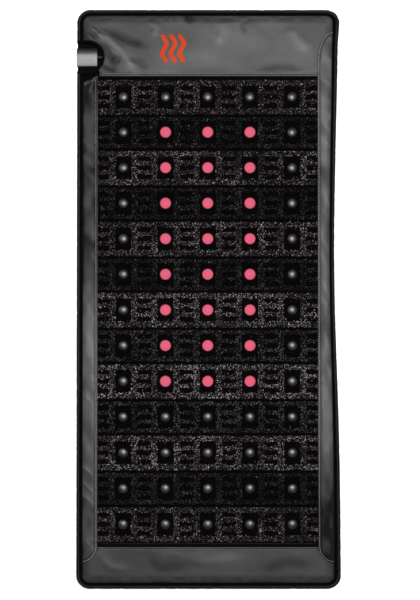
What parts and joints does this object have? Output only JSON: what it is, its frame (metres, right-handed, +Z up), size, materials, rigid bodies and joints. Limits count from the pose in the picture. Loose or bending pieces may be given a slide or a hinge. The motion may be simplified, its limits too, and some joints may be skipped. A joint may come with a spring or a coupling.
{
  "type": "infrared gemstone heating mat",
  "caption": "Flat padded heating mat with crushed-stone bands under mesh, polished stones, red lamps, a leather border and a socket recess; folds in half.",
  "frame": {"origin": "on the floor, under the centre of the mat's outline", "axes": "+X to the right across the mat seen from above with the head end up, +Y along the mat towards the head end (the end with the socket), +Z up out of the stone side"},
  "size_m": [0.815, 1.8, 0.033],
  "materials": {
    "under_cover": "matte grained synthetic leather, black",
    "felt": "needled felt, grey",
    "foam": "open-cell foam, pale grey",
    "foil": "metallised film, bright",
    "heater_felt": "heat-proof felt, off-white",
    "heater_wire": "silicone-covered wire, red-brown",
    "wadding": "polyester wadding, off-white",
    "edge_leather": "smooth synthetic leather, near black, slight gloss",
    "band_leather": "grained synthetic leather, dark grey",
    "panel_leather": "grained synthetic leather, grey",
    "mesh": "open polyester mesh, dark grey",
    "gem_mauve": "crushed stone, grey with mauve glints",
    "gem_black": "crushed stone, near black",
    "patch": "matte black pad",
    "stone": "polished black cabochon",
    "lamp_holder": "moulded plastic, very dark red",
    "lamp_lens": "clear tinted lens, lit pink-red",
    "lamp_board": "white solder mask",
    "wiring": "black insulation",
    "socket_tray": "moulded plastic, black",
    "socket_silver": "satin silver-grey plastic",
    "screw_steel": "zinc-plated",
    "contact_block": "black moulding",
    "contact_brass": "plated brass",
    "boot_rubber": "black moulded rubber",
    "circuit_board": "green solder mask",
    "fuse": "white ceramic",
    "sensor": "yellow sleeve"
  },
  "bodies": {
    "head_half": {"bottom_cover_head": "under_cover", "base_felt_head": "felt", "foam_core_head": "foam", "reflective_foil_head": "foil", "heater_felt_head": "heater_felt", "heater_wire_head": "heater_wire", "border_wadding_head": "wadding", "edge_roll_head": "edge_leather", "side_band_left_head": "band_leather", "side_band_right_head": "band_leather", "mesh_cover_head": "mesh", "station_patches_head": "patch", "polished_stones_head": "stone", "lamp_holders_head": "lamp_holder", "lamp_lenses_head": "lamp_lens", "lamp_boards_head": "lamp_board", "lamp_harness_head": "wiring", "head_panel": "panel_leather", "gem_band_01": "gem_mauve", "gem_band_02": "gem_black", "gem_band_03": "gem_mauve", "gem_band_04": "gem_black", "gem_band_05": "gem_mauve", "gem_band_06": "gem_black", "socket_shell_lower": "socket_silver", "socket_shell_upper": "socket_silver", "socket_tray": "socket_tray", "socket_screws": "screw_steel", "socket_contact_block": "contact_block", "socket_contacts": "contact_brass", "socket_boot": "boot_rubber", "socket_lead": "wiring", "junction_board": "circuit_board", "thermal_fuse": "fuse", "temperature_sensor": "sensor"},
    "foot_half": {"bottom_cover_foot": "under_cover", "base_felt_foot": "felt", "foam_core_foot": "foam", "reflective_foil_foot": "foil", "heater_felt_foot": "heater_felt", "heater_wire_foot": "heater_wire", "border_wadding_foot": "wadding", "edge_roll_foot": "edge_leather", "side_band_left_foot": "band_leather", "side_band_right_foot": "band_leather", "mesh_cover_foot": "mesh", "station_patches_foot": "patch", "polished_stones_foot": "stone", "lamp_holders_foot": "lamp_holder", "lamp_lenses_foot": "lamp_lens", "lamp_boards_foot": "lamp_board", "lamp_harness_foot": "wiring", "foot_panel": "panel_leather", "gem_band_07": "gem_mauve", "gem_band_08": "gem_black", "gem_band_09": "gem_mauve", "gem_band_10": "gem_black", "gem_band_11": "gem_mauve", "gem_band_12": "gem_black", "gem_band_13": "gem_mauve"}
  },
  "joints": [
    {"name": "fold_in_half", "type": "hinge", "parent": "head_half", "child": "foot_half", "pos_m": [0, 0.022, 0.0345], "axis": [-1, 0, 0], "range_deg": [0, 179.9]}
  ]
}
